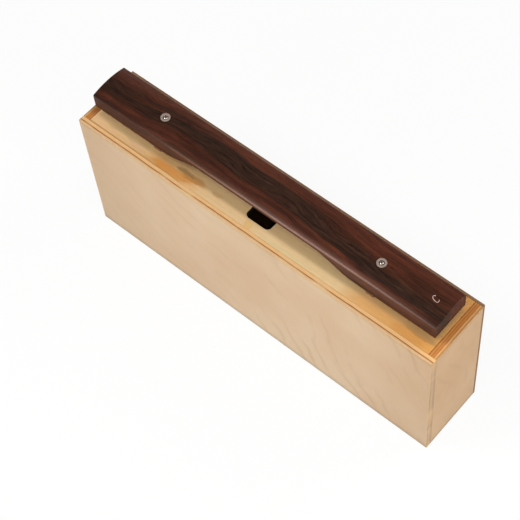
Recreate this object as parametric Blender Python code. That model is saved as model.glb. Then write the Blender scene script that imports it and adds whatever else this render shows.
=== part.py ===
"""Bass bar: one tuned rosewood bar that floats over its own plywood resonator box.

X runs along the bar, Y from the front of the box to its back, Z up, all in metres.
The origin lies on the floor under the middle of the box.
"""

import math

import bmesh
import bpy

# Resonator box, outside sizes and board thicknesses
BOX_LENGTH = 0.590
BOX_DEPTH = 0.106
BOX_HEIGHT = 0.233
FRONT_THICKNESS = 0.009
BACK_THICKNESS = 0.0040
END_THICKNESS = 0.012
TOP_THICKNESS = 0.009
BOTTOM_THICKNESS = 0.009
BOX_ARRIS = 0.0010

# Sound hole in the top board, under the middle of the bar
HOLE_LENGTH = 0.040
HOLE_WIDTH = 0.060
HOLE_CORNER = 0.005

# Glue strips and posts that hold the box together inside, and the rails for the screws
LEDGER_SIDE = 0.015
POST_SIDE = 0.016
RAIL_WIDTH = 0.030
RAIL_HEIGHT = 0.022

# Gap kept between neighbouring pieces, and around a screw in wood
SEAT_GAP = 0.0003

# Sound bar: a crowned plank whose underside is hollowed to an arch between the nodes
BAR_LENGTH = 0.563
BAR_WIDTH = 0.060
BAR_THICKNESS = 0.027
BAR_CROWN = 0.0042
BAR_SHOULDER = 0.0022
BAR_ARRIS = 0.0010
ARCH_HEIGHT = 0.016
ARCH_FOOT = 0.157
ARCH_ROOF = 0.094
NODE_SPACING = 0.355

# Bridges that carry the bar at its two nodes, each with a felt strip on top
BRIDGE_WIDTH = 0.012
BRIDGE_LENGTH = 0.049
BRIDGE_HEIGHT = 0.013
BRIDGE_ARRIS = 0.0015
FELT_WIDTH = 0.010
FELT_THICKNESS = 0.0035

# Flanged grommets that line the bar's node holes
FLANGE_DIAMETER = 0.0134
FLANGE_THICKNESS = 0.0013
SLEEVE_DIAMETER = 0.0094
SLEEVE_DEPTH = 0.0140
RECESS_DIAMETER = 0.0074
RECESS_DEPTH = 0.0037
BORE_DIAMETER = 0.0044

# Slotted round-head screws, and how far the bar can lift before it meets their heads
SCREW_LENGTH = 0.060
SHANK_DIAMETER = 0.0032
HEAD_DIAMETER = 0.0060
HEAD_HEIGHT = 0.0022
HEAD_RIM = 0.0004
SLOT_WIDTH = 0.0010
SLOT_DEPTH = 0.0011
SLOT_ANGLE = math.radians(128)
POINT_LENGTH = 0.0040
TIP_CLEARANCE = 0.0010
BAR_FLOAT = 0.0012

# Facets round a turned piece, along a fillet, across the crown and along one ramp of the arch
TURN_FACETS = 40
FILLET_FACETS = 4
CROWN_FACETS = 14
RAMP_FACETS = 12

# How far a cutter runs past the face it cuts, and how near two faces count as level
CUTTER_OVERRUN = 0.0050
LEVEL_TOLERANCE = 0.00001

# Heights that several pieces share
LEDGER_TOP = BOX_HEIGHT - TOP_THICKNESS - SEAT_GAP
LEDGER_FLOOR = BOTTOM_THICKNESS + SEAT_GAP
BRIDGE_BASE = BOX_HEIGHT + SEAT_GAP
FELT_BASE = BRIDGE_BASE + BRIDGE_HEIGHT + SEAT_GAP
BAR_BASE = FELT_BASE + FELT_THICKNESS + SEAT_GAP
BAR_TOP = BAR_BASE + BAR_THICKNESS
FLANGE_TOP = BAR_TOP + SEAT_GAP + FLANGE_THICKNESS
GROMMET_SHOULDER = FLANGE_TOP - RECESS_DEPTH
HEAD_SEAT = GROMMET_SHOULDER + BAR_FLOAT + SEAT_GAP
SCREW_TIP = HEAD_SEAT - SCREW_LENGTH

# The space inside the four panels: its half length, and how far it reaches to the front and the back
INNER_X = BOX_LENGTH / 2 - END_THICKNESS - SEAT_GAP
INNER_FRONT = BOX_DEPTH / 2 - FRONT_THICKNESS - SEAT_GAP
INNER_BACK = BOX_DEPTH / 2 - BACK_THICKNESS - SEAT_GAP


def clear_scene():
    for old in list(bpy.data.objects):
        bpy.data.objects.remove(old, do_unlink=True)


def linear(hex_colour):
    """Turn a #rrggbb sRGB colour into linear RGBA."""
    channels = []
    for start in (1, 3, 5):
        value = int(hex_colour[start:start + 2], 16) / 255
        channels.append(value / 12.92 if value <= 0.04045 else ((value + 0.055) / 1.055) ** 2.4)
    return (*channels, 1.0)


def make_material(name, hex_colour, roughness, metallic=0.0):
    material = bpy.data.materials.new(name)
    material.use_nodes = True
    shader = material.node_tree.nodes["Principled BSDF"]
    shader.inputs["Base Color"].default_value = linear(hex_colour)
    shader.inputs["Roughness"].default_value = roughness
    shader.inputs["Metallic"].default_value = metallic
    return material


def finish_object(name, bm, material, location=(0, 0, 0), parent=None):
    """Turn a bmesh into a named object with its faces pointing out."""
    bmesh.ops.recalc_face_normals(bm, faces=bm.faces)
    mesh = bpy.data.meshes.new(name)
    bm.to_mesh(mesh)
    bm.free()
    if material:
        mesh.materials.append(material)
    placed = bpy.data.objects.new(name, mesh)
    placed.location = location
    placed.parent = parent
    bpy.context.scene.collection.objects.link(placed)
    return placed


def shade_round(piece, angle=math.radians(35)):
    piece.data.shade_smooth()
    piece.data.set_sharp_from_angle(angle=angle)


def make_cutter(name, bm, location=(0, 0, 0)):
    """Make an object that only cuts others: wire in the viewport, never rendered."""
    cutter = finish_object(name, bm, None, location)
    cutter.hide_render = True
    cutter.display_type = 'WIRE'
    return cutter


def cut(piece, cutter):
    boolean = piece.modifiers.new("cut_" + cutter.name, 'BOOLEAN')
    boolean.operation = 'DIFFERENCE'
    boolean.solver = 'EXACT'
    boolean.object = cutter


def box_mesh(size):
    bm = bmesh.new()
    bmesh.ops.create_cube(bm, size=1.0)
    bmesh.ops.scale(bm, vec=size, verts=bm.verts)
    return bm


def arc(centre_u, centre_v, radius, start, end, steps):
    """Points of an arc in a plane, from the start angle to the end angle in degrees."""
    points = []
    for step in range(steps + 1):
        angle = math.radians(start + (end - start) * step / steps)
        points.append((centre_u + radius * math.cos(angle), centre_v + radius * math.sin(angle)))
    return points


def turned_mesh(profile, closed=False):
    """Turn a profile of (radius, height) points about Z; a closed profile leaves a bore."""
    bm = bmesh.new()
    rings = []
    for radius, height in profile:
        if radius == 0:
            rings.append([bm.verts.new((0, 0, height))])
            continue
        ring = []
        for facet in range(TURN_FACETS):
            angle = 2 * math.pi * facet / TURN_FACETS
            ring.append(bm.verts.new((radius * math.cos(angle), radius * math.sin(angle), height)))
        rings.append(ring)
    pairs = list(zip(rings, rings[1:]))
    if closed:
        pairs.append((rings[-1], rings[0]))
    for lower, upper in pairs:
        for facet in range(TURN_FACETS):
            after = (facet + 1) % TURN_FACETS
            if len(lower) == 1:
                bm.faces.new((lower[0], upper[facet], upper[after]))
            elif len(upper) == 1:
                bm.faces.new((lower[facet], lower[after], upper[0]))
            else:
                bm.faces.new((lower[facet], lower[after], upper[after], upper[facet]))
    return bm


# Boards and strips

def soften_outside(bm, location):
    """Round the edges where two outer faces of the box meet, as sanding does."""
    def on_outside(face):
        centre = face.calc_center_median()
        distances = (
            abs(centre.x + location[0]) - BOX_LENGTH / 2,
            abs(centre.y + location[1]) - BOX_DEPTH / 2,
            centre.z + location[2] - BOX_HEIGHT,
            centre.z + location[2],
        )
        return min(abs(distance) for distance in distances) < LEVEL_TOLERANCE

    edges = [edge for edge in bm.edges if all(on_outside(face) for face in edge.link_faces)]
    if edges:
        bmesh.ops.bevel(bm, geom=edges, offset=BOX_ARRIS, segments=3, profile=0.5, affect='EDGES')


def make_board(name, low, high, material, outside=False):
    """Make a board or strip between two corners; outside rounds the box's own edges."""
    size = [high[axis] - low[axis] for axis in range(3)]
    centre = [(high[axis] + low[axis]) / 2 for axis in range(3)]
    bm = box_mesh(size)
    if outside:
        soften_outside(bm, centre)
    board = finish_object(name, bm, material, centre)
    shade_round(board)
    return board


def rounded_slot_mesh(length, width, corner, height):
    """A prism of rounded-rectangle outline, centred on its origin."""
    bm = bmesh.new()
    outline = []
    for quarter, (side_x, side_y) in enumerate(((1, 1), (-1, 1), (-1, -1), (1, -1))):
        centre_x = side_x * (length / 2 - corner)
        centre_y = side_y * (width / 2 - corner)
        outline += arc(centre_x, centre_y, corner, 90 * quarter, 90 * quarter + 90, 6)
    base = bm.faces.new([bm.verts.new((x, y, -height / 2)) for x, y in outline])
    raised = bmesh.ops.extrude_face_region(bm, geom=[base])
    moved = [item for item in raised["geom"] if isinstance(item, bmesh.types.BMVert)]
    bmesh.ops.translate(bm, vec=(0, 0, height), verts=moved)
    return bm


def make_panels(birch, hardboard):
    """The front panel and the thin back board lap over the ends, which stand between them."""
    faces = (("front_panel", -1, FRONT_THICKNESS, birch), ("back_panel", 1, BACK_THICKNESS, hardboard))
    for name, side, thickness, material in faces:
        outer = side * BOX_DEPTH / 2
        inner = side * (BOX_DEPTH / 2 - thickness)
        low = (-BOX_LENGTH / 2, min(outer, inner), 0)
        high = (BOX_LENGTH / 2, max(outer, inner), BOX_HEIGHT)
        make_board(name, low, high, material, outside=True)
    for name, side in (("end_panel_left", -1), ("end_panel_right", 1)):
        outer = side * BOX_LENGTH / 2
        inner = side * (BOX_LENGTH / 2 - END_THICKNESS)
        low = (min(outer, inner), -INNER_FRONT, 0)
        high = (max(outer, inner), INNER_BACK, BOX_HEIGHT)
        make_board(name, low, high, birch, outside=True)


def make_top_board(varnished, screw_cutters):
    """The top board lies flush between the panels and holds the sound hole."""
    low = (-INNER_X, -INNER_FRONT, BOX_HEIGHT - TOP_THICKNESS)
    high = (INNER_X, INNER_BACK, BOX_HEIGHT)
    board = make_board("top_board", low, high, varnished)
    outline = rounded_slot_mesh(HOLE_LENGTH, HOLE_WIDTH, HOLE_CORNER, TOP_THICKNESS + 2 * CUTTER_OVERRUN)
    hole = make_cutter("sound_hole_cutter", outline, (0, 0, BOX_HEIGHT - TOP_THICKNESS / 2))
    cut(board, hole)
    for cutter in screw_cutters:
        cut(board, cutter)


def make_bottom_board(birch):
    low = (-INNER_X, -INNER_FRONT, 0)
    make_board("bottom_board", low, (INNER_X, INNER_BACK, BOTTOM_THICKNESS), birch)


def make_glue_strips(spruce):
    """Ledger strips run along the boards, and posts stand in the upright corners."""
    sides = (("front", -1, INNER_FRONT), ("back", 1, INNER_BACK))
    for depth_name, side, reach in sides:
        low_y, high_y = sorted((side * reach, side * (reach - LEDGER_SIDE)))
        top_low = (-INNER_X, low_y, LEDGER_TOP - LEDGER_SIDE)
        make_board("ledger_top_" + depth_name, top_low, (INNER_X, high_y, LEDGER_TOP), spruce)
        base_high = (INNER_X, high_y, LEDGER_FLOOR + LEDGER_SIDE)
        make_board("ledger_bottom_" + depth_name, (-INNER_X, low_y, LEDGER_FLOOR), base_high, spruce)

    post_floor = LEDGER_FLOOR + LEDGER_SIDE + SEAT_GAP
    post_top = LEDGER_TOP - LEDGER_SIDE - SEAT_GAP
    for depth_name, side_y, reach in sides:
        ends_y = sorted((side_y * reach, side_y * (reach - POST_SIDE)))
        for end_name, side_x in (("left", -1), ("right", 1)):
            ends_x = sorted((side_x * INNER_X, side_x * (INNER_X - POST_SIDE)))
            low = (ends_x[0], ends_y[0], post_floor)
            high = (ends_x[1], ends_y[1], post_top)
            make_board("post_" + depth_name + "_" + end_name, low, high, spruce)


# Everything at one node of the bar, from the inside of the box upwards

def make_screw_cutter(end_name, node_x):
    """The path of one screw through the wood, wider than its shank by the gap."""
    floor = SCREW_TIP - TIP_CLEARANCE
    radius = SHANK_DIAMETER / 2 + SEAT_GAP
    bm = turned_mesh([(0, floor), (radius, floor), (radius, BAR_TOP), (0, BAR_TOP)])
    return make_cutter("screw_path_" + end_name, bm, (node_x, 0, 0))


def make_rail(end_name, node_x, spruce, screw_cutter):
    """A cross rail glued under the top board gives the screw wood to bite in."""
    low = (node_x - RAIL_WIDTH / 2, LEDGER_SIDE + SEAT_GAP - INNER_FRONT, LEDGER_TOP - RAIL_HEIGHT)
    high = (node_x + RAIL_WIDTH / 2, INNER_BACK - LEDGER_SIDE - SEAT_GAP, LEDGER_TOP)
    cut(make_board("screw_rail_" + end_name, low, high, spruce), screw_cutter)


def make_bridge(end_name, node_x, beech, screw_cutter):
    """A hardwood block across the top board lifts the bar at its node."""
    bm = box_mesh((BRIDGE_WIDTH, BRIDGE_LENGTH, BRIDGE_HEIGHT))
    top = [edge for edge in bm.edges if min(vertex.co.z for vertex in edge.verts) > 0]
    bmesh.ops.bevel(bm, geom=top, offset=BRIDGE_ARRIS, segments=2, profile=0.5, affect='EDGES')
    centre = (node_x, 0, BRIDGE_BASE + BRIDGE_HEIGHT / 2)
    bridge = finish_object("bridge_" + end_name, bm, beech, centre)
    shade_round(bridge)
    cut(bridge, screw_cutter)


def make_felt(end_name, node_x, felt, screw_cutter):
    """A felt strip on the bridge is all that the bar rests on."""
    half_y = BRIDGE_LENGTH / 2 - BRIDGE_ARRIS
    low = (node_x - FELT_WIDTH / 2, -half_y, FELT_BASE)
    high = (node_x + FELT_WIDTH / 2, half_y, FELT_BASE + FELT_THICKNESS)
    cut(make_board("felt_" + end_name, low, high, felt), screw_cutter)


def make_grommet(end_name, node_x, plastic, carrier):
    """A flanged bush that keeps the screw off the wood of the bar.

    Its cup holds the screw head below the flange, and its bore clears the shank.
    """
    flange_radius = FLANGE_DIAMETER / 2
    recess_radius = RECESS_DIAMETER / 2
    rim = FLANGE_THICKNESS / 2
    flange_base = FLANGE_TOP - FLANGE_THICKNESS
    sleeve_end = BAR_TOP - SLEEVE_DEPTH
    lip = rim / 2
    profile = [(BORE_DIAMETER / 2, sleeve_end), (SLEEVE_DIAMETER / 2, sleeve_end)]
    profile += [(SLEEVE_DIAMETER / 2, flange_base)]
    profile += arc(flange_radius - rim, FLANGE_TOP - rim, rim, -90, 90, 2 * FILLET_FACETS)
    profile += arc(recess_radius + lip, FLANGE_TOP - lip, lip, 90, 180, FILLET_FACETS)
    profile += [(recess_radius, GROMMET_SHOULDER), (BORE_DIAMETER / 2, GROMMET_SHOULDER)]
    local = [(radius, height - BAR_BASE) for radius, height in profile]
    bm = turned_mesh(local, closed=True)
    shade_round(finish_object("grommet_" + end_name, bm, plastic, (node_x, 0, 0), carrier))


def make_screw(end_name, node_x, steel):
    """A round-head screw with a straight slot, from its head down to its point."""
    head_radius = HEAD_DIAMETER / 2
    shank_radius = SHANK_DIAMETER / 2
    dome_rise = HEAD_HEIGHT - HEAD_RIM
    profile = [(0, -SCREW_LENGTH), (shank_radius, POINT_LENGTH - SCREW_LENGTH)]
    profile += [(shank_radius, 0), (head_radius, 0), (head_radius, HEAD_RIM)]
    for along, up in arc(0, 0, 1, 0, 90, 2 * FILLET_FACETS)[1:-1]:
        profile.append((head_radius * along, HEAD_RIM + dome_rise * up))
    profile.append((0, HEAD_HEIGHT))
    location = (node_x, 0, HEAD_SEAT)
    screw = finish_object("screw_" + end_name, turned_mesh(profile), steel, location)
    shade_round(screw)

    slot_centre = HEAD_SEAT + HEAD_HEIGHT
    slot_mesh = box_mesh((HEAD_DIAMETER + 2 * CUTTER_OVERRUN, SLOT_WIDTH, 2 * SLOT_DEPTH))
    slot = make_cutter("slot_cutter_" + end_name, slot_mesh, (node_x, 0, slot_centre))
    slot.rotation_euler = (0, 0, SLOT_ANGLE)
    cut(screw, slot)


# The sound bar

def arch_rise(x):
    """Height of the underside above the bar's base, at a distance x from the middle."""
    across = (ARCH_FOOT - abs(x)) / (ARCH_FOOT - ARCH_ROOF)
    across = max(0.0, min(1.0, across))
    return ARCH_HEIGHT * (1 - math.cos(math.pi * across)) / 2


def bar_section(x, inset):
    """Outline of the bar across its length, drawn in by an inset, as (y, z) points."""
    half = BAR_WIDTH / 2 - inset
    base = arch_rise(x) + inset
    crown_radius = ((BAR_WIDTH / 2) ** 2 + BAR_CROWN ** 2) / (2 * BAR_CROWN)
    crown_centre = BAR_THICKNESS - crown_radius
    skin = crown_radius - inset
    shoulder = BAR_SHOULDER - inset
    shoulder_y = half - shoulder
    shoulder_z = crown_centre + math.sqrt((skin - shoulder) ** 2 - shoulder_y ** 2)
    lean = math.degrees(math.atan2(shoulder_y, shoulder_z - crown_centre))
    arris = max(BAR_ARRIS - inset, BAR_ARRIS / 8)

    outline = arc(half - arris, base + arris, arris, -90, 0, FILLET_FACETS // 2)
    outline += arc(shoulder_y, shoulder_z, shoulder, 0, 90 - lean, FILLET_FACETS)
    outline += arc(0, crown_centre, skin, 90 - lean, 90 + lean, CROWN_FACETS)[1:-1]
    outline += arc(-shoulder_y, shoulder_z, shoulder, 90 + lean, 180, FILLET_FACETS)
    outline += arc(-half + arris, base + arris, arris, 180, 270, FILLET_FACETS // 2)
    return outline


def bar_stations():
    """Places along the bar where its outline is drawn, each with its inset."""
    half = BAR_LENGTH / 2
    ramp = [ARCH_FOOT + (ARCH_ROOF - ARCH_FOOT) * step / RAMP_FACETS for step in range(RAMP_FACETS + 1)]
    stations = []
    for step in range(FILLET_FACETS, -1, -1):
        angle = math.radians(90 * step / FILLET_FACETS)
        reach = BAR_ARRIS * (1 - math.sin(angle))
        stations.append((half - reach, BAR_ARRIS * (1 - math.cos(angle))))
    stations += [(x, 0.0) for x in ramp]
    mirrored = [(-x, inset) for x, inset in reversed(stations)]
    return stations + mirrored


def make_sound_bar(rosewood, carrier):
    """Loft the bar through its outlines, then drill its two node holes."""
    bm = bmesh.new()
    rings = []
    for x, inset in bar_stations():
        rings.append([bm.verts.new((x, y, z)) for y, z in bar_section(x, inset)])
    count = len(rings[0])
    for near, far in zip(rings, rings[1:]):
        for index in range(count):
            after = (index + 1) % count
            bm.faces.new((near[index], near[after], far[after], far[index]))
    bm.faces.new(rings[0])
    bm.faces.new(rings[-1])
    bar = finish_object("sound_bar", bm, rosewood, parent=carrier)
    shade_round(bar)

    sleeve_radius = SLEEVE_DIAMETER / 2 + SEAT_GAP
    shank_radius = BORE_DIAMETER / 2
    step = BAR_TOP - SLEEVE_DEPTH - SEAT_GAP
    below = BAR_BASE - CUTTER_OVERRUN
    above = BAR_TOP + CUTTER_OVERRUN
    profile = [(0, below), (shank_radius, below), (shank_radius, step)]
    profile += [(sleeve_radius, step), (sleeve_radius, above), (0, above)]
    for end_name, side in (("left", -1), ("right", 1)):
        hole = make_cutter("node_hole_" + end_name, turned_mesh(profile), (side * NODE_SPACING / 2, 0, 0))
        cut(bar, hole)


def build():
    clear_scene()
    birch = make_material("birch_plywood", "#d8b893", 0.50)
    hardboard = make_material("brown_hardboard", "#8a6d52", 0.60)
    varnished = make_material("varnished_birch", "#deb884", 0.35)
    spruce = make_material("spruce", "#d9bd8e", 0.60)
    beech = make_material("varnished_beech", "#b98555", 0.45)
    felt = make_material("grey_felt", "#4a443f", 0.95)
    plastic = make_material("grey_plastic", "#a8998c", 0.50)
    steel = make_material("zinc_plated_steel", "#c9c4bc", 0.25, 1.0)
    rosewood = make_material("oiled_rosewood", "#46261f", 0.35)

    make_panels(birch, hardboard)
    make_bottom_board(birch)
    make_glue_strips(spruce)

    carrier = bpy.data.objects.new("bar_float", None)
    carrier.location = (0, 0, BAR_BASE)
    bpy.context.scene.collection.objects.link(carrier)
    make_sound_bar(rosewood, carrier)

    screw_cutters = []
    for end_name, side in (("left", -1), ("right", 1)):
        node_x = side * NODE_SPACING / 2
        screw_cutter = make_screw_cutter(end_name, node_x)
        screw_cutters.append(screw_cutter)
        make_rail(end_name, node_x, spruce, screw_cutter)
        make_bridge(end_name, node_x, beech, screw_cutter)
        make_felt(end_name, node_x, felt, screw_cutter)
        make_grommet(end_name, node_x, plastic, carrier)
        make_screw(end_name, node_x, steel)
    make_top_board(varnished, screw_cutters)


build()
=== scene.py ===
import math

import bmesh
import bpy
from mathutils import Matrix, Vector, noise


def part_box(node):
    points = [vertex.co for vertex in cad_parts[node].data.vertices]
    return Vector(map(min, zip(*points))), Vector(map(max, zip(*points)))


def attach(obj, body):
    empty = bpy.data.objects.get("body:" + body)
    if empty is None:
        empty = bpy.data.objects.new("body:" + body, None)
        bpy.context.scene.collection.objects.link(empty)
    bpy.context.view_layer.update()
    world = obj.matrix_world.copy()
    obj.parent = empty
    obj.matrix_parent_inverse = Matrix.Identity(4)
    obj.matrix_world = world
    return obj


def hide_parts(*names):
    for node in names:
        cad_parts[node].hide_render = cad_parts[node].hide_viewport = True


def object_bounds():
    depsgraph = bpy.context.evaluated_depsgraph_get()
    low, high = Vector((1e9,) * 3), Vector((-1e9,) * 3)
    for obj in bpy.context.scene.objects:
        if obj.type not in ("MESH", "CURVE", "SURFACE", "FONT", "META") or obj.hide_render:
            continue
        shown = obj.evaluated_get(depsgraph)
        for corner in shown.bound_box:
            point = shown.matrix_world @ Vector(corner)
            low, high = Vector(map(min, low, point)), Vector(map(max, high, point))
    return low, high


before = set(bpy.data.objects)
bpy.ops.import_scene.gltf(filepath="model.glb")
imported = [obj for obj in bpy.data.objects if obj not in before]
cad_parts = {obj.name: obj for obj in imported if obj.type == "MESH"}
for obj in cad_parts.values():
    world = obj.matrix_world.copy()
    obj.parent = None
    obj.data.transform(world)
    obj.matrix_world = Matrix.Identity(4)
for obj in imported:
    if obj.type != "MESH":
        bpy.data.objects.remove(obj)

cad_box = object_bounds()

# Camera
# The bass bar is seen from high beyond its right-hand front corner, through a long lens.
# The place and the angles come from the edges of the box, so the view is the photograph's own.
PHOTO_SIDE = 520
FOCAL_PIXELS = 1489.4
SENSOR_MM = 36.0
CAMERA_PLACE = (0.7573, -0.7421, 1.8039)
CAMERA_AZIMUTH = math.radians(46.83)
CAMERA_ELEVATION = math.radians(57.93)
CAMERA_ROLL = math.radians(-7.11)
CAMERA_REACH = 50.0

camera_data = bpy.data.cameras.new("camera")
camera_data.sensor_width = SENSOR_MM
camera_data.lens = FOCAL_PIXELS * SENSOR_MM / PHOTO_SIDE
camera_data.clip_end = CAMERA_REACH
camera = bpy.data.objects.new("camera", camera_data)
camera_turn = Matrix.Rotation(CAMERA_AZIMUTH, 4, 'Z')
camera_turn @= Matrix.Rotation(math.pi / 2 - CAMERA_ELEVATION, 4, 'X')
camera_turn @= Matrix.Rotation(CAMERA_ROLL, 4, 'Z')
camera.matrix_world = Matrix.Translation(CAMERA_PLACE) @ camera_turn
bpy.context.scene.collection.objects.link(camera)
bpy.context.scene.camera = camera
bpy.context.scene.view_settings.view_transform = 'Standard'

# Floor
# A sheet of matt pale paper, wide enough to run out of sight on every side.
# It shows as white to the eye and to gloss, and keeps a little of the object's shadow.
FLOOR_SIDE = 16.0
FLOOR_CELLS = 8
PAPER_SEEN, PAPER_THROWN = "#f6f6f5", "#c8c7c5"
SHADOW_KEPT = 0.10


def paint(hex_colour):
    """Turn a #rrggbb sRGB colour into linear RGBA."""
    channels = []
    for start in (1, 3, 5):
        value = int(hex_colour[start:start + 2], 16) / 255
        channels.append(value / 12.92 if value <= 0.04045 else ((value + 0.055) / 1.055) ** 2.4)
    return (*channels, 1.0)


def feed(node, inputs):
    """Set a node's inputs, each to a value, or to the socket or node that feeds it."""
    for key, value in inputs.items():
        if isinstance(value, bpy.types.Node):
            value = next(socket for socket in value.outputs if socket.enabled)
        if isinstance(value, bpy.types.NodeSocket):
            node.id_data.links.new(value, node.inputs[key])
        else:
            node.inputs[key].default_value = value


def add(tree, kind, inputs=None, stops=(), **settings):
    """Add a node with its settings and what feeds it; stops fill a colour ramp."""
    node = tree.nodes.new("ShaderNode" + kind)
    for name, value in settings.items():
        setattr(node, name, value)
    feed(node, inputs or {})
    if stops:
        ramp = node.color_ramp.elements
        ramp.remove(ramp[1])
        ramp[0].position, ramp[0].color = stops[0]
        for place, colour in stops[1:]:
            ramp.new(place).color = colour
    return node


paper = bpy.data.materials.new("matt_pale_paper")
paper.use_nodes = True
tree = paper.node_tree
tree.nodes.remove(tree.nodes["Principled BSDF"])
path = add(tree, "LightPath").outputs
gloss = add(tree, "Math", {0: path["Is Glossy Ray"], 1: path["Is Transmission Ray"]}, operation='MAXIMUM')
seen = add(tree, "Math", {0: path["Is Camera Ray"], 1: gloss}, operation='MAXIMUM')
share = add(tree, "Math", {0: seen, 1: 1 - SHADOW_KEPT}, operation='MULTIPLY')
tone = add(tree, "Mix", {0: seen, 6: paint(PAPER_THROWN), 7: paint(PAPER_SEEN)}, data_type='RGBA')
lit_paper = add(tree, "BsdfDiffuse", {"Color": tone})
plain_paper = add(tree, "Emission", {"Color": (1, 1, 1, 1), "Strength": 1.0})
paper_mix = add(tree, "MixShader", {0: share, 1: lit_paper, 2: plain_paper})
feed(tree.nodes["Material Output"], {"Surface": paper_mix})

bm = bmesh.new()
bmesh.ops.create_grid(bm, x_segments=FLOOR_CELLS, y_segments=FLOOR_CELLS, size=FLOOR_SIDE / 2)
floor_mesh = bpy.data.meshes.new("paper_floor")
bm.to_mesh(floor_mesh)
bm.free()
floor_mesh.materials.append(paper)
floor = bpy.data.objects.new("paper_floor", floor_mesh)
bpy.context.scene.collection.objects.link(floor)

# Studio light
# Soft boxes hang high on the left and right, in front, beyond both ends and behind.
# The room is pale near the floor and dim overhead, so that dark wood keeps its depth.
ROOM_LOW, ROOM_HIGH = 0.55, 0.06
LOW_UP_TO, HIGH_FROM = 0.05, 0.65
SOFT_BOXES = (
    # name, direction from the object, distance, side, power in watts
    ("box_high_left", (-0.30, -0.44, 0.85), 2.0, 0.60, 17.5),
    ("box_high_right", (0.45, -0.35, 0.82), 2.0, 0.80, 10.5),
    ("box_front", (0.10, -0.93, 0.36), 2.2, 1.60, 15.0),
    ("box_end", (0.93, -0.15, 0.33), 2.1, 1.10, 12.5),
    ("box_behind", (0.45, 0.60, 0.66), 2.2, 1.00, 12.5),
    ("box_far_end", (-0.80, 0.58, 0.03), 2.2, 1.00, 12.0),
)

world = bpy.data.worlds.new("studio_room")
bpy.context.scene.world = world
world.use_nodes = True
tree = world.node_tree
upward = add(tree, "SeparateXYZ", {0: add(tree, "TexCoord").outputs["Generated"]}).outputs["Z"]
room = add(tree, "MapRange", {"Value": upward, "From Min": LOW_UP_TO, "From Max": HIGH_FROM,
                              "To Min": ROOM_LOW, "To Max": ROOM_HIGH})
to_eye = add(tree, "LightPath").outputs["Is Camera Ray"]
strength = add(tree, "Mix", {0: to_eye, 2: room, 3: 1.0}, data_type='FLOAT')
feed(tree.nodes["Background"], {"Color": (1, 1, 1, 1), "Strength": strength})

for name, direction, distance, side, power in SOFT_BOXES:
    lamp_data = bpy.data.lights.new(name, 'AREA')
    lamp_data.shape = 'SQUARE'
    lamp_data.size = side
    lamp_data.energy = power
    lamp = bpy.data.objects.new(name, lamp_data)
    aim = Vector(direction).normalized()
    lamp.location = aim * distance + Vector((0, 0, cad_box[1].z / 2))
    lamp.rotation_euler = aim.to_track_quat('Z', 'Y').to_euler()
    lamp.visible_camera = False
    bpy.context.scene.collection.objects.link(lamp)

# Glue strips, corner posts and screw rails
# Planed spruce strips, glued along the boards and up the corners inside the box.
# They are bare wood with close growth rings that run the length of each strip.
SPRUCE_PALE, SPRUCE_RING = "#e0c898", "#c49a62"
SPRUCE_RING_MM, SPRUCE_RUN_MM = 1.6, 140.0
LENGTHWISE, CROSSWISE, UPRIGHT = 0, 1, 2


def start_material(name):
    """Start a material, and return it with its node tree, its shader and the place on the object."""
    material = bpy.data.materials.new(name)
    material.use_nodes = True
    tree = material.node_tree
    return material, tree, tree.nodes["Principled BSDF"], add(tree, "TexCoord").outputs["Object"]


def streaks(tree, place, along, run_mm, width_mm, detail=3.0, distortion=0.0):
    """Noise drawn out along one axis, so that each streak has the run and the width given."""
    scale = [1000 / width_mm] * 3
    scale[along] = 1000 / run_mm
    drawn_out = add(tree, "Mapping", {"Vector": place, "Scale": scale})
    return add(tree, "TexNoise", {"Vector": drawn_out, "Scale": 1.0, "Detail": detail,
                                  "Distortion": distortion})


def dress(material, *nodes):
    """Give solids that stay in view their material."""
    for node in nodes:
        for material_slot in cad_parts[node].material_slots:
            material_slot.material = material


def planed_spruce(name, along):
    """Planed spruce gives the eye fine parallel rings and a dry, even surface."""
    material, tree, shader, place = start_material(name)
    rings = streaks(tree, place, along, SPRUCE_RUN_MM, SPRUCE_RING_MM, detail=2.0, distortion=0.3)
    colour = add(tree, "ValToRGB", {0: rings},
                 stops=((0.38, paint(SPRUCE_RING)), (0.55, paint(SPRUCE_PALE))))
    bump = add(tree, "Bump", {"Height": rings, "Strength": 0.25, "Distance": 0.0002})
    feed(shader, {"Base Color": colour, "Normal": bump, "Roughness": 0.65, "IOR": 1.45})
    return material


dress(planed_spruce("planed_spruce_lengthwise", LENGTHWISE),
      "ledger_top_front", "ledger_top_back", "ledger_bottom_front", "ledger_bottom_back")
dress(planed_spruce("planed_spruce_upright", UPRIGHT),
      "post_front_left", "post_front_right", "post_back_left", "post_back_right")
dress(planed_spruce("planed_spruce_crosswise", CROSSWISE), "screw_rail_left", "screw_rail_right")

# Front panel, end panels and bottom board
# Birch plywood, sawn, sanded and given a clear satin lacquer; the front laps over the ends.
# The cut edges show their plies, and lacquer soaks into them and turns them orange.
FRONT_PLIES = ((0.0, "#dab287"), (2.5, "#dfb485"), (3.0, "#94591f"), (3.7, "#94591f"), (4.3, "#ecb97c"),
               (7.2, "#f2c084"), (8.3, "#eabc82"), (9.0, "#cf9c60"))
FRONT_PLIES_UPRIGHT = ((0.0, "#c5a47d"), (0.9, "#ad845b"), (1.8, "#c39f76"), (5.6, "#c39f76"),
                       (6.9, "#ae855d"), (7.8, "#c09c74"), (9.0, "#a57e56"))
END_PLIES = ((0.0, "#c89a66"), (0.8, "#b88048"), (1.6, "#b97f42"), (2.6, "#e2a86c"), (3.5, "#e6ac70"),
             (4.6, "#bd7838"), (5.5, "#b87232"), (6.7, "#cc8744"), (7.7, "#c07836"), (8.5, "#ae6626"),
             (9.7, "#d28d48"), (10.6, "#c88040"), (11.4, "#a66028"), (12.0, "#9c5820"))
PLY_BRIGHT = "#eac28c"
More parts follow.
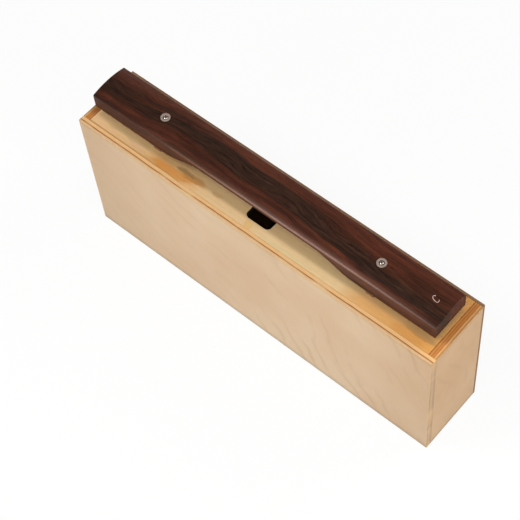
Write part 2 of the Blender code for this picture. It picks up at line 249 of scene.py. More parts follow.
PLY_WAVER_MM, PLY_WAVER_RUN_MM = 0.9, 45.0
PLY_FADE_RUN_MM, FRONT_FADE, END_FADE = 38.0, 0.6, 0.1
FADE_FROM, FADE_FULL = 0.48, 0.72
BOARD_WIDE_MM = 400.0
SAW_MARK_RUN_MM, SAW_MARK_MM = 9.0, 0.8
SAW_MARK_DARK, SAW_MARK_LIGHT = 0.92, 1.07
# Most of a noise lies between the inner pair of levels, and nearly all of it between the outer pair
NOISE_LOW, NOISE_HIGH = 0.3, 0.7
NOISE_FLOOR, NOISE_CEILING = 0.25, 0.75
# The front face's growth lines fall gently to the right on its left part and steeply on its right
GENTLE_LINES, STEEP_LINES = (0.57, 0.57, 0.82), (0.93, 0.93, 0.36)
LINE_SPACING_MM, LINE_BREAK_MM, LINE_STRENGTH = 27.0, 70.0, 0.28
LINE_WARP_MM, LINE_WARP_RUN_MM = 60.0, 95.0
STEEP_FROM, STEEP_FULL, GENTLE_WEIGHT = -0.12, 0.10, 0.5
LINE_CREST, LINE_BROKEN, LINE_WHOLE = 0.35, 0.42, 0.68
CLOUD_MM = 110.0
# Painted shade darkens the faces toward the ends of the box
END_SHADE_FROM, END_SHADE_FULL = 0.13, 0.29
# Lacquer gathers in a warm band along the top edges
LACQUER_REACH, LACQUER_TINT = 0.0090, (0.90, 0.84, 0.64)
# The faces are a little darker and greyer along the foot
FOOT_REACH, FOOT_TINT = 0.0120, (0.77, 0.81, 0.82)
# A painted shadow of the bar darkens the left end's top edge beside and beyond the bar
BAR_SHADOW_START, BAR_SHADOW_FULL, LEFT_END_BAR_SHADOW = 0.038, 0.027, 0.46
# Birch flecks are about 0.3 mm wide and are drawn three times as coarse, so that they show
FLECK_RUN_MM, FLECK_MM = 16.0, 0.9
FLECK_DARK, FLECK_LIGHT = 0.97, 1.02
FACE_SMOOTH, FACE_ROUGH = 0.42, 0.54
# A side counts as a face, or as an upright edge, by how squarely its normal points that way
EDGE_SQUARE, FACE_SQUARE = 0.75, 0.95
LYING_SQUARE, UPRIGHT_SQUARE = 0.4, 0.7


def ply_edge(tree, place, across, along, outer, plies, most_faded):
    """Colours of a cut edge, by the depth from the board's outer face; the plies waver along it."""
    thickness = plies[-1][0]
    stops = [(depth / thickness, paint(colour)) for depth, colour in plies]
    waver = PLY_WAVER_MM / thickness / 2
    from_face = add(tree, "Math", {0: add(tree, "SeparateXYZ", {0: place}).outputs[across], 1: outer},
                    operation='SUBTRACT')
    depth = add(tree, "Math", {0: from_face}, operation='ABSOLUTE')
    wavering = add(tree, "MapRange", {0: streaks(tree, place, along, PLY_WAVER_RUN_MM, BOARD_WIDE_MM, 2.0),
                                      1: NOISE_FLOOR, 2: NOISE_CEILING, 3: -waver, 4: waver})
    share = add(tree, "Math", {0: depth, 1: 1000 / thickness, 2: wavering}, operation='MULTIPLY_ADD')
    bands = add(tree, "ValToRGB", {0: share}, stops=stops)
    fade = add(tree, "MapRange", {0: streaks(tree, place, along, PLY_FADE_RUN_MM, BOARD_WIDE_MM, 2.0),
                                  1: FADE_FROM, 2: FADE_FULL, 3: 0.0, 4: most_faded})
    faded = add(tree, "Mix", {0: fade, 6: bands, 7: paint(PLY_BRIGHT)}, data_type='RGBA')
    saw_marks = add(tree, "MapRange", {0: streaks(tree, place, along, SAW_MARK_RUN_MM, SAW_MARK_MM),
                                       1: NOISE_LOW, 2: NOISE_HIGH, 3: SAW_MARK_DARK, 4: SAW_MARK_LIGHT})
    return add(tree, "VectorMath", {0: faded, "Scale": saw_marks}, operation='SCALE')


def wandering(tree, place, reach_mm, run_mm, detail):
    """Shift the place by a noise, by half the reach to each side, so that what is drawn on it wanders."""
    drift = add(tree, "TexNoise", {"Vector": place, "Scale": 1000 / run_mm, "Detail": detail})
    centred = add(tree, "VectorMath", {0: drift.outputs["Color"], 1: (0.5, 0.5, 0.5)}, operation='SUBTRACT')
    shift = add(tree, "VectorMath", {0: centred, "Scale": reach_mm / 1000}, operation='SCALE')
    return add(tree, "VectorMath", {0: place, 1: shift}, operation='ADD')


def birch_face(tree, place, pale, deep, line, end_shade_tint):
    """Colours of a rotary-cut birch face: faint clouds, and broken growth lines that wander.

    The face is tinted toward the ends of the box by painted shade, and along its top and foot.
    """
    warped = wandering(tree, place, LINE_WARP_MM, LINE_WARP_RUN_MM, 3.0)
    gentle = add(tree, "VectorMath", {0: warped, 1: GENTLE_LINES}, operation='DOT_PRODUCT')
    steep = add(tree, "VectorMath", {0: warped, 1: STEEP_LINES}, operation='DOT_PRODUCT')
    along_box = add(tree, "SeparateXYZ", {0: place}).outputs["X"]
    to_right = add(tree, "MapRange", {0: along_box, 1: STEEP_FROM, 2: STEEP_FULL},
                   interpolation_type='SMOOTHSTEP')
    level = add(tree, "Mix", {0: to_right, 2: gentle, 3: steep}, data_type='FLOAT')
    turns = add(tree, "Math", {0: level, 1: 2 * math.pi * 1000 / LINE_SPACING_MM}, operation='MULTIPLY')
    waves = add(tree, "Math", {0: turns}, operation='SINE')
    crests = add(tree, "MapRange", {0: waves, 1: LINE_CREST, 2: 1.0})
    breaks = add(tree, "TexNoise", {"Vector": place, "Scale": 1000 / LINE_BREAK_MM, "Detail": 2.0})
    shown = add(tree, "MapRange", {0: breaks, 1: LINE_BROKEN, 2: LINE_WHOLE, 3: 0.0, 4: LINE_STRENGTH})
    lines = add(tree, "Math", {0: crests, 1: shown}, operation='MULTIPLY')
    weight = add(tree, "MapRange", {0: to_right, 3: GENTLE_WEIGHT, 4: 1.0})
    lines = add(tree, "Math", {0: lines, 1: weight}, operation='MULTIPLY')
    clouds = add(tree, "TexNoise", {"Vector": warped, "Scale": 1000 / CLOUD_MM, "Detail": 2.0})
    ground = add(tree, "ValToRGB", {0: clouds}, stops=((0.35, paint(deep)), (0.65, paint(pale))))
    lined = add(tree, "Mix", {0: lines, 6: ground, 7: paint(line)}, data_type='RGBA')

    # Painted shade toward the ends of the box
    off_middle = add(tree, "Math", {0: along_box}, operation='ABSOLUTE')
    to_ends = add(tree, "MapRange", {0: off_middle, 1: END_SHADE_FROM, 2: END_SHADE_FULL},
                  interpolation_type='SMOOTHSTEP')
    end_shade = add(tree, "Mix", {0: to_ends, 6: (1, 1, 1, 1), 7: (*end_shade_tint, 1)}, data_type='RGBA')
    toned = add(tree, "VectorMath", {0: lined, 1: end_shade}, operation='MULTIPLY')
    height = add(tree, "SeparateXYZ", {0: place}).outputs["Z"]
    near_top = add(tree, "MapRange", {0: height, 1: front_high.z - LACQUER_REACH, 2: front_high.z,
                                      3: 0.0, 4: 1.0})
    pooled = add(tree, "Mix", {0: near_top, 6: (1, 1, 1, 1), 7: (*LACQUER_TINT, 1)}, data_type='RGBA')
    near_floor = add(tree, "MapRange", {0: height, 1: FOOT_REACH, 2: FOOT_REACH / 3})
    foot_toned = add(tree, "Mix", {0: near_floor, 6: pooled, 7: (*FOOT_TINT, 1)}, data_type='RGBA')
    return add(tree, "VectorMath", {0: toned, 1: foot_toned}, operation='MULTIPLY')


def lacquered_birch(name, across, along, outer, plies, faded, face, upright_plies=None, bar_shadow=0.0):
    """Lacquered birch plywood gives the eye a pale calm face, banded edges and a satin sheen.

    The board is across one axis, its edges run along another, and outer is its outer face.
    A painted shadow of the bar darkens its edges beside the bar.
    """
    material, tree, shader, place = start_material(name)
    facing = add(tree, "SeparateXYZ", {0: add(tree, "TexCoord").outputs["Normal"]})
    edge = ply_edge(tree, place, across, along, outer, plies, faded)
    if upright_plies:
        sideways = add(tree, "Math", {0: facing.outputs["X"]}, operation='ABSOLUTE')
        on_end = add(tree, "MapRange", {0: sideways, 1: LYING_SQUARE, 2: UPRIGHT_SQUARE})
        upright = ply_edge(tree, place, across, UPRIGHT, outer, upright_plies, faded)
        edge = add(tree, "Mix", {0: on_end, 6: edge, 7: upright}, data_type='RGBA')
    # Painted shadow of the bar on the ply edges
    if bar_shadow:
        off_middle = add(tree, "Math", {0: add(tree, "SeparateXYZ", {0: place}).outputs["Y"]},
                         operation='ABSOLUTE')
        darkened = add(tree, "MapRange", {0: off_middle, 1: BAR_SHADOW_START, 2: BAR_SHADOW_FULL,
                                          3: 1.0, 4: 1.0 - bar_shadow})
        edge = add(tree, "VectorMath", {0: edge, "Scale": darkened}, operation='SCALE')
    flat = add(tree, "Math", {0: facing.outputs[across]}, operation='ABSOLUTE')
    on_face = add(tree, "MapRange", {0: flat, 1: EDGE_SQUARE, 2: FACE_SQUARE})
    colour = add(tree, "Mix", {0: on_face, 6: edge, 7: birch_face(tree, place, *face)}, data_type='RGBA')
    flecks = streaks(tree, place, UPRIGHT, FLECK_RUN_MM, FLECK_MM)
    fleck_tone = add(tree, "MapRange", {0: flecks, 1: NOISE_LOW, 2: NOISE_HIGH,
                                        3: FLECK_DARK, 4: FLECK_LIGHT})
    toned = add(tree, "VectorMath", {0: colour, "Scale": fleck_tone}, operation='SCALE')
    bump = add(tree, "Bump", {"Height": flecks, "Strength": 0.15, "Distance": 0.0001})
    sheen = add(tree, "MapRange", {0: flecks, 3: FACE_SMOOTH, 4: FACE_ROUGH})
    feed(shader, {"Base Color": toned, "Normal": bump, "Roughness": sheen, "IOR": 1.48,
                  "Specular IOR Level": 0.30})
    return material


FRONT_FACE = ("#d9bd9b", "#d3b38f", "#b08b66", (0.90, 0.86, 0.82))
END_FACE = ("#d2ad82", "#caa277", "#b48c62", (1.0, 1.0, 1.0))
front_low, front_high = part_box("front_panel")
dress(lacquered_birch("lacquered_birch_front", CROSSWISE, LENGTHWISE, front_low.y, FRONT_PLIES, FRONT_FADE,
                      FRONT_FACE, FRONT_PLIES_UPRIGHT), "front_panel")
dress(lacquered_birch("lacquered_birch_left_end", LENGTHWISE, CROSSWISE, front_low.x, END_PLIES, END_FADE,
                      END_FACE, bar_shadow=LEFT_END_BAR_SHADOW), "end_panel_left")
dress(lacquered_birch("lacquered_birch_right_end", LENGTHWISE, CROSSWISE, front_high.x, END_PLIES, END_FADE,
                      END_FACE), "end_panel_right")
dress(lacquered_birch("lacquered_birch_bottom", UPRIGHT, LENGTHWISE, 0.0, FRONT_PLIES, FRONT_FADE,
                      FRONT_FACE), "bottom_board")

# Back board
# A thin sheet of brown hardboard that closes the back and covers the edges of the ends.
# It is pressed wood fibre: smooth and a little shiny outside, dark and woolly on its cut edges.
BOARD_BROWN, BOARD_FIBRE, BOARD_EDGE = "#a9835c", "#8d6a48", "#926a45"
# The fibres are about 0.1 mm thick and are drawn six times as coarse, so that they show
FIBRE_RUN_MM, FIBRE_MM = 5.0, 0.6
SHEET_FROM, SHEET_FULL = 0.6, 0.9
CUT_ROUGH, SHEET_ROUGH = 0.75, 0.45

hardboard, tree, shader, place = start_material("pressed_brown_hardboard")
fibres = streaks(tree, place, LENGTHWISE, FIBRE_RUN_MM, FIBRE_MM, detail=4.0, distortion=1.2)
sheet = add(tree, "ValToRGB", {0: fibres}, stops=((0.35, paint(BOARD_FIBRE)), (0.65, paint(BOARD_BROWN))))
cut = add(tree, "ValToRGB", {0: fibres}, stops=((0.40, paint(BOARD_EDGE)), (0.70, paint(BOARD_FIBRE))))
facing = add(tree, "SeparateXYZ", {0: add(tree, "TexCoord").outputs["Normal"]})
flat = add(tree, "Math", {0: facing.outputs["Y"]}, operation='ABSOLUTE')
on_sheet = add(tree, "MapRange", {0: flat, 1: SHEET_FROM, 2: SHEET_FULL})
colour = add(tree, "Mix", {0: on_sheet, 6: cut, 7: sheet}, data_type='RGBA')
dullness = add(tree, "MapRange", {0: on_sheet, 3: CUT_ROUGH, 4: SHEET_ROUGH})
bump = add(tree, "Bump", {"Height": fibres, "Strength": 0.25, "Distance": 0.0001})
feed(shader, {"Base Color": colour, "Roughness": dullness, "Normal": bump, "IOR": 1.50,
              "Specular IOR Level": 0.35})
dress(hardboard, "back_panel")

# Top board
# A figured softwood-faced board, let in flush between the panels, with a routed sound hole.
# Gloss varnish deepens the resin-rich patches to orange, and the clear wood stays straw-coloured.
HOLE_LENGTH, HOLE_WIDTH, HOLE_CORNER = 0.040, 0.060, 0.007
BOARD_ARRIS = 0.0004
SCREW_PATH = 0.0038
CUT_OVERRUN = 0.005
# Main tones along the board, by the distance from its middle in millimetres
BOARD_TONES = ((-283, "#e6bb89"), (-190, "#dcb27c"), (-155, "#cf9a5f"), (-85, "#e2bd8b"), (10, "#e4c292"),
               (140, "#e5c592"), (170, "#dfab6e"), (283, "#d69850"))
TONE_RUN_MM, TONE_BREADTH_MM, TONE_WANDER_MM = 90.0, 26.0, 34.0
# Resin patches, clear wood and patches of painted shade beside the bar: centre, half length and half width
# in millimetres, colour, strength
PATCHES = (
    (-138, -38, 40, 7, "#d08c42", 0.80),
    (-110, -29, 24, 6, "#c07c30", 0.85),
    # A dark streak at the bar's edge, partly the wood's figure and partly painted shade
    (-124, -27, 17, 3, "#7d5a2c", 0.85),
    (-103, -41, 11, 4, "#e4b27a", 0.75),
    (-222, -31, 50, 4, "#c0a577", 0.55),
    (-205, -36, 14, 5, "#dcae8a", 0.50),
    (-68, -29, 10, 4, "#b98c58", 0.45),
    (-7, -39, 7, 9, "#dfb168", 0.60),
    (55, -41, 50, 5, "#dcc795", 0.45),
    (246, -38, 26, 9, "#cc8a40", 0.42),
    # Painted shade under the bar's right end
    (258, -28, 28, 5, "#9c6c38", 0.50),
    (-60, 42, 45, 6, "#d09048", 0.60),
    (120, 44, 60, 6, "#d49a55", 0.50),
)
PATCH_WARP_MM, PATCH_WARP_RUN_MM = 9.0, 14.0
PATCH_RIM, PATCH_CORE = 1.10, 0.65
# Varnish pools brown along the front joint, most of all at the left-hand end
JOINT_BROWN = "#b27a40"
JOINT_REACH = 0.0024
POOL_RIGHT, POOL_LEFT, POOL_LEAST, POOL_MOST = -0.12, -0.20, 0.05, 0.85
# Painted shade darkens the board beside and under the bar
BAR_SHADE_GREY, BAR_SHADE_STRENGTH = "#9c7f56", 0.65
BAR_SHADE_EDGE, BAR_SHADE_REACH = 0.0345, 0.008
BOARD_GRAIN_RUN_MM, BOARD_GRAIN_MM = 120.0, 2.2
GRAIN_DARK, GRAIN_LIGHT = 0.94, 1.05
HOLE_WALL_DARK = "#191512"
TOP_SQUARE, WALL_SQUARE = 0.9, 0.5


def finish_piece(name, bm, material, smooth_degrees=35):
    """Turn a bmesh that is drawn in place into a piece, smooth but for its sharp edges."""
    bmesh.ops.recalc_face_normals(bm, faces=bm.faces)
    mesh = bpy.data.meshes.new(name)
    bm.to_mesh(mesh)
    bm.free()
    mesh.materials.append(material)
    mesh.shade_smooth()
    mesh.set_sharp_from_angle(angle=math.radians(smooth_degrees))
    piece = bpy.data.objects.new(name, mesh)
    bpy.context.scene.collection.objects.link(piece)
    return piece


def pierce(piece, *cutting_shapes, smooth_degrees=35):
    """Cut shapes out of a piece, and keep the result as its own mesh with its edges marked."""
    cutters = []
    for number, bm in enumerate(cutting_shapes):
        cutter = finish_piece(f"{piece.name}_cutter_{number}", bm, piece.data.materials[0])
        cutters.append(cutter)
        boolean = piece.modifiers.new(f"cut_{number}", 'BOOLEAN')
        boolean.operation = 'DIFFERENCE'
        boolean.solver = 'EXACT'
        boolean.object = cutter
    bpy.context.view_layer.update()
    evaluated = piece.evaluated_get(bpy.context.evaluated_depsgraph_get())
    cut_mesh = bpy.data.meshes.new_from_object(evaluated)
    piece.modifiers.clear()
    piece.data = cut_mesh
    cut_mesh.name = piece.name
    cut_mesh.shade_smooth()
    cut_mesh.set_sharp_from_angle(angle=math.radians(smooth_degrees))
    for cutter in cutters:
        bpy.data.objects.remove(cutter, do_unlink=True)


def arc(centre_u, centre_v, radius, start, end, steps):
    """Points of an arc in a plane, from the start angle to the end angle in degrees."""
    points = []
    for step in range(steps + 1):
        angle = math.radians(start + (end - start) * step / steps)
        points.append((centre_u + radius * math.cos(angle), centre_v + radius * math.sin(angle)))
    return points


def block_shape(low, high, arris=0.0, steps=3):
    """A block between two corners, with every edge rounded by the arris."""
    bm = bmesh.new()
    bmesh.ops.create_cube(bm, size=1.0)
    bmesh.ops.scale(bm, vec=[high[axis] - low[axis] for axis in range(3)], verts=bm.verts)
    bmesh.ops.translate(bm, vec=[(high[axis] + low[axis]) / 2 for axis in range(3)], verts=bm.verts)
    if arris:
        bmesh.ops.bevel(bm, geom=bm.edges, offset=arris, segments=steps, profile=0.5, affect='EDGES')
    return bm


def rod_shape(centre_x, radius, floor, top, facets=48):
    """An upright round rod, to cut a screw's path."""
    bm = bmesh.new()
    bmesh.ops.create_cone(bm, cap_ends=True, segments=facets, radius1=radius, radius2=radius,
                          depth=top - floor)
    bmesh.ops.translate(bm, vec=(centre_x, 0, (top + floor) / 2), verts=bm.verts)
    return bm


def hole_shape(floor, top):
    """The sound hole, an upright prism with round corners."""
    bm = bmesh.new()
    outline = []
    for quarter, (side_x, side_y) in enumerate(((1, 1), (-1, 1), (-1, -1), (1, -1))):
        centre_x = side_x * (HOLE_LENGTH / 2 - HOLE_CORNER)
        centre_y = side_y * (HOLE_WIDTH / 2 - HOLE_CORNER)
        outline += arc(centre_x, centre_y, HOLE_CORNER, 90 * quarter, 90 * quarter + 90, 12)
    base = bm.faces.new([bm.verts.new((x, y, floor)) for x, y in outline])
    raised = bmesh.ops.extrude_face_region(bm, geom=[base])["geom"]
    lid = [element for element in raised if isinstance(element, bmesh.types.BMVert)]
    bmesh.ops.translate(bm, vec=(0, 0, top - floor), verts=lid)
    return bm


def varnished_figured_board():
    """Gloss varnish over figured wood gives the eye warm drifting patches and a soft shine."""
    material, tree, shader, place = start_material("varnished_figured_softwood")
    parts = add(tree, "SeparateXYZ", {0: place}).outputs
    wander = add(tree, "MapRange", {0: streaks(tree, place, LENGTHWISE, TONE_RUN_MM, TONE_BREADTH_MM),
                                    1: NOISE_FLOOR, 2: NOISE_CEILING,
                                    3: -TONE_WANDER_MM / 2000, 4: TONE_WANDER_MM / 2000})
    along = add(tree, "Math", {0: parts["X"], 1: wander}, operation='ADD')
    first, last = BOARD_TONES[0][0], BOARD_TONES[-1][0]
    stops = [((x - first) / (last - first), paint(colour)) for x, colour in BOARD_TONES]
    share = add(tree, "MapRange", {0: along, 1: first / 1000, 2: last / 1000})
    colour = add(tree, "ValToRGB", {0: share}, stops=stops)

    warped = wandering(tree, place, PATCH_WARP_MM, PATCH_WARP_RUN_MM, 4.0)
    for x, y, half_length, half_width, patch, strength in PATCHES:
        moved = add(tree, "VectorMath", {0: warped, 1: (-x / 1000, -y / 1000, 0)}, operation='ADD')
        scaled = add(tree, "VectorMath", {0: moved, 1: (1000 / half_length, 1000 / half_width, 0)},
                     operation='MULTIPLY')
        reach = add(tree, "VectorMath", {0: scaled}, operation='LENGTH')
        inside = add(tree, "MapRange", {0: reach, 1: PATCH_RIM, 2: PATCH_CORE, 3: 0.0, 4: strength},
                     interpolation_type='SMOOTHSTEP')
        colour = add(tree, "Mix", {0: inside, 6: colour, 7: paint(patch)}, data_type='RGBA')

    near_joint = add(tree, "MapRange", {0: parts["Y"], 1: board_low.y + JOINT_REACH, 2: board_low.y})
    to_left = add(tree, "MapRange", {0: parts["X"], 1: POOL_RIGHT, 2: POOL_LEFT,
                                     3: POOL_LEAST, 4: POOL_MOST})
    pooled = add(tree, "Math", {0: near_joint, 1: to_left}, operation='MULTIPLY')
    colour = add(tree, "Mix", {0: pooled, 6: colour, 7: paint(JOINT_BROWN)}, data_type='RGBA')
    off_middle = add(tree, "Math", {0: parts["Y"]}, operation='ABSOLUTE')
    # Painted shade of the bar, on the board beside and under it
    bar_shade_share = add(tree, "MapRange", {0: off_middle, 1: BAR_SHADE_EDGE, 2: BAR_SHADE_EDGE - BAR_SHADE_REACH, 3: 0.0, 4: BAR_SHADE_STRENGTH},
               interpolation_type='SMOOTHSTEP')
    off_centre = add(tree, "Math", {0: parts["X"]}, operation='ABSOLUTE')
    under_bar = add(tree, "MapRange", {0: off_centre, 1: bar_high.x + BAR_SHADE_REACH / 2,
                                       2: bar_high.x - BAR_SHADE_REACH / 2})
    bar_shade_share = add(tree, "Math", {0: bar_shade_share, 1: under_bar}, operation='MULTIPLY')
    colour = add(tree, "Mix", {0: bar_shade_share, 6: colour, 7: paint(BAR_SHADE_GREY)}, data_type='RGBA')
    lines = streaks(tree, warped, LENGTHWISE, BOARD_GRAIN_RUN_MM, BOARD_GRAIN_MM, 4.0)
    line_tone = add(tree, "MapRange", {0: lines, 1: NOISE_LOW, 2: NOISE_HIGH,
                                       3: GRAIN_DARK, 4: GRAIN_LIGHT})
    colour = add(tree, "VectorMath", {0: colour, "Scale": line_tone}, operation='SCALE')

    # The walls of the sound hole are coloured near-black
    hole_x = add(tree, "Math", {0: off_centre, 1: HOLE_LENGTH / 2 + BOARD_ARRIS}, operation='LESS_THAN')
    hole_y = add(tree, "Math", {0: off_middle, 1: HOLE_WIDTH / 2 + BOARD_ARRIS}, operation='LESS_THAN')
    in_hole = add(tree, "Math", {0: hole_x, 1: hole_y}, operation='MULTIPLY')
    facing = add(tree, "SeparateXYZ", {0: add(tree, "TexCoord").outputs["Normal"]})
    upward = add(tree, "Math", {0: facing.outputs["Z"]}, operation='ABSOLUTE')
    on_wall = add(tree, "MapRange", {0: upward, 1: TOP_SQUARE, 2: WALL_SQUARE})
    on_hole_wall = add(tree, "Math", {0: in_hole, 1: on_wall}, operation='MULTIPLY')
    colour = add(tree, "Mix", {0: on_hole_wall, 6: colour, 7: paint(HOLE_WALL_DARK)}, data_type='RGBA')
    bump = add(tree, "Bump", {"Height": lines, "Strength": 0.12, "Distance": 0.00015})
    feed(shader, {"Base Color": colour, "Normal": bump, "Roughness": 0.34, "IOR": 1.50,
                  "Specular IOR Level": 0.40})
    return material


board_low, board_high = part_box("top_board")
bar_low, bar_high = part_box("sound_bar")
node_right = (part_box("screw_right")[0].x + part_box("screw_right")[1].x) / 2
NODE_SIDES = (("left", -node_right), ("right", node_right))

board = finish_piece("top_board_varnished", block_shape(board_low, board_high, BOARD_ARRIS),
                     varnished_figured_board())
board_floor, board_top = board_low.z - CUT_OVERRUN, board_high.z + CUT_OVERRUN
screw_paths = [rod_shape(node_x, SCREW_PATH / 2, board_floor, board_top) for _, node_x in NODE_SIDES]
pierce(board, hole_shape(board_floor, board_top), *screw_paths)
hole_edge = board.modifiers.new("eased_hole_edge", 'BEVEL')
hole_edge.width = BOARD_ARRIS
hole_edge.segments = 2
hole_edge.limit_method = 'ANGLE'
hole_edge.angle_limit = math.radians(60)
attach(board, "resonator")
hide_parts("top_board")

# Bridges
# Two beech blocks, planed, eased along their edges and glued across the board under the nodes.
# A brown stain under the varnish darkens the wood and lets its short flecks show.
BRIDGE_ARRIS = 0.0015
BEECH_STAINED, BEECH_FLECK = "#83583a", "#5f3d25"
BEECH_FLECK_RUN_MM, BEECH_FLECK_MM = 4.5, 0.7

beech, tree, shader, place = start_material("stained_planed_beech")
flecks = streaks(tree, place, CROSSWISE, BEECH_FLECK_RUN_MM, BEECH_FLECK_MM, 2.0)
colour = add(tree, "ValToRGB", {0: flecks}, stops=((0.36, paint(BEECH_FLECK)), (0.50, paint(BEECH_STAINED))))
bump = add(tree, "Bump", {"Height": flecks, "Strength": 0.15, "Distance": 0.0001})
feed(shader, {"Base Color": colour, "Normal": bump, "Roughness": 0.42, "IOR": 1.50})

for side_name, node_x in NODE_SIDES:
    low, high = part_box("bridge_" + side_name)
    bridge = finish_piece("bridge_block_" + side_name, block_shape(low, high, BRIDGE_ARRIS, 5), beech)
    pierce(bridge, rod_shape(node_x, SCREW_PATH / 2, low.z - CUT_OVERRUN, high.z + CUT_OVERRUN))
    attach(bridge, "resonator")
    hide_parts("bridge_" + side_name)

# Felts
# Strips of pressed grey wool felt, glued on the bridges; the bar rests on nothing else.
# Their edges are soft, and their skin is drawn a little fuzzy.
FELT_EDGE = 0.0009
FELT_CELL = 0.0008
FELT_HALVINGS = 7
FUZZ = 0.00012
FELT_GREY, FELT_LINT = "#3f3a36", "#6b645d"
# Wool fibres are about 0.03 mm thick and are drawn ten times as coarse, so that they show
WOOL_RUN_MM, WOOL_MM = 1.4, 0.35

felt, tree, shader, place = start_material("pressed_wool_felt")
wool = streaks(tree, place, LENGTHWISE, WOOL_RUN_MM, WOOL_MM, detail=5.0, distortion=1.5)
colour = add(tree, "ValToRGB", {0: wool}, stops=((0.38, paint(FELT_GREY)), (0.68, paint(FELT_LINT))))
bump = add(tree, "Bump", {"Height": wool, "Strength": 0.6, "Distance": 0.0003})
feed(shader, {"Base Color": colour, "Normal": bump, "Roughness": 0.95, "Sheen Weight": 0.35,
              "Sheen Roughness": 0.6})


def felt_shape(low, high):
    """A felt strip whose skin is drawn in by a hair's breadth of fuzz, never out past its space."""
    bm = block_shape(low, high, FELT_EDGE, 4)
    for _ in range(FELT_HALVINGS):
        long_edges = [edge for edge in bm.edges if edge.calc_length() > 2 * FELT_CELL]
        if long_edges:
            bmesh.ops.subdivide_edges(bm, edges=long_edges, cuts=1, use_grid_fill=True)
    bmesh.ops.recalc_face_normals(bm, faces=bm.faces)
    bm.normal_update()
    for vertex in bm.verts:
        depth = FUZZ * (0.5 + 0.5 * noise.noise(vertex.co / FELT_CELL))
        vertex.co -= vertex.normal * depth
    return bm


for side_name, node_x in NODE_SIDES:
    low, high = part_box("felt_" + side_name)
    strip = finish_piece("felt_strip_" + side_name, felt_shape(low, high), felt, 80)
    screw_path = rod_shape(node_x, SCREW_PATH / 2, low.z - CUT_OVERRUN, high.z + CUT_OVERRUN)
    pierce(strip, screw_path, smooth_degrees=80)
    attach(strip, "resonator")
    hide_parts("felt_" + side_name)

# Sound bar
# One plank of rosewood, planed to a crown, hollowed below to tune it, then oiled and rubbed.
# A near-black heart streak wanders down its length between red-brown edges.
CROWN, SHOULDER, ARRIS = 0.0042, 0.0022, 0.0010
ARCH_HEIGHT, ARCH_FOOT, ARCH_ROOF = 0.016, 0.157, 0.094
CROWN_STEPS, SHOULDER_STEPS, ARRIS_STEPS, RAMP_STEPS = 48, 10, 5, 40
HOLE_STEP_DEPTH, HOLE_WIDE, HOLE_NARROW = 0.0143, 0.0100, 0.0044
NODE_MARGIN = 0.009
# Where the middle of the heart streak lies across the bar, at places along it
HEART_LINE = ((-0.2815, -0.008), (-0.235, -0.006), (-0.190, -0.002), (-0.130, 0.005), (-0.050, 0.004),
              (0.030, 0.003), (0.090, -0.004), (0.150, -0.009), (0.210, -0.012), (0.2815, -0.014))
HEART_SPREAD = 0.040
HEART_EDGE, HEART_CORE = 0.0200, 0.00375
HEART_RAGGED = 0.012
LEFT_END_TONE = 0.82
HEART_BLACK, HEART_BROWN = "#261710", "#3c261b"
RED_DEEP, RED_BROWN, RED_LIGHT = "#3c1f14", "#4a2418", "#5c2f1d"
GRAIN_WARP_MM, GRAIN_WARP_RUN_MM = 5.0, 70.0
WARP_LOW, WARP_HIGH = 0.2, 0.8
BAND_RUN_MM, BAND_MM = 150.0, 6.0
RIBBON_RUN_MM, RIBBON_MM = 34.0, 1.9
RIBBON_DARK, RIBBON_LIGHT = 0.91, 1.08
CLOUD_RUN_MM, CLOUD_BREADTH_MM = 32.0, 7.0
CLOUD_DARK, CLOUD_LIGHT = 0.84, 1.14
# Open vessels are about 0.2 mm wide and are drawn four times as coarse, so that they show
VESSEL_RUN_MM, VESSEL_MM = 9.0, 0.8
VESSEL_OPEN, VESSEL_SHUT, VESSEL_TONE = 0.34, 0.42, 0.6
# The front arris is painted pale along its middle, warmer on the left: partly wood rubbed pale where hands
# and mallets reach it, partly a painted highlight
RUB_AND_HIGHLIGHT_WARM, RUB_AND_HIGHLIGHT_PALE, RUB_AND_HIGHLIGHT = "#a8734c", "#aa806e", 0.66
RUB_AND_HIGHLIGHT_FROM, RUB_AND_HIGHLIGHT_TO, RUB_AND_HIGHLIGHT_FADE = -0.200, 0.305, 0.170
RUB_AND_HIGHLIGHT_REACH, RUB_AND_HIGHLIGHT_RIM = -0.0224, 0.0005
NO_RUB_OR_HIGHLIGHT_BELOW, RUB_AND_HIGHLIGHT_ABOVE = -0.05, 0.30
CROWN_SQUARE, ARRIS_SQUARE, CROWN_SHARE = 0.97, 0.50, 0.36
WARM_UP_TO, COOL_FROM = -0.10, 0.02
SIDE_TILT, END_TILT = 0.35, 0.8

bar_length, bar_width = bar_high.x - bar_low.x, bar_high.y - bar_low.y
bar_thickness = bar_high.z - bar_low.z
crown_radius = ((bar_width / 2) ** 2 + CROWN ** 2) / (2 * CROWN)


def arch_rise(x):
    """Height of the underside above the bar's base, at a distance x from the middle."""
    across = max(0.0, min(1.0, (ARCH_FOOT - abs(x)) / (ARCH_FOOT - ARCH_ROOF)))
    return ARCH_HEIGHT * (1 - math.cos(math.pi * across)) / 2


def bar_section(x, inset):
    """Outline of the bar across its length, drawn in by an inset, as (y, z) points."""
    half = bar_width / 2 - inset
    base = arch_rise(x) + inset
    centre = bar_thickness - crown_radius
    skin, shoulder = crown_radius - inset, SHOULDER - inset
    shoulder_y = half - shoulder
    shoulder_z = centre + math.sqrt((skin - shoulder) ** 2 - shoulder_y ** 2)
    lean = math.degrees(math.atan2(shoulder_y, shoulder_z - centre))
    arris = max(ARRIS - inset, ARRIS / 8)
    outline = arc(half - arris, base + arris, arris, -90, 0, ARRIS_STEPS)
    outline += arc(shoulder_y, shoulder_z, shoulder, 0, 90 - lean, SHOULDER_STEPS)
    outline += arc(0, centre, skin, 90 - lean, 90 + lean, CROWN_STEPS)[1:-1]
    outline += arc(-shoulder_y, shoulder_z, shoulder, 90 + lean, 180, SHOULDER_STEPS)
    outline += arc(-half + arris, base + arris, arris, 180, 270, ARRIS_STEPS)
    return outline


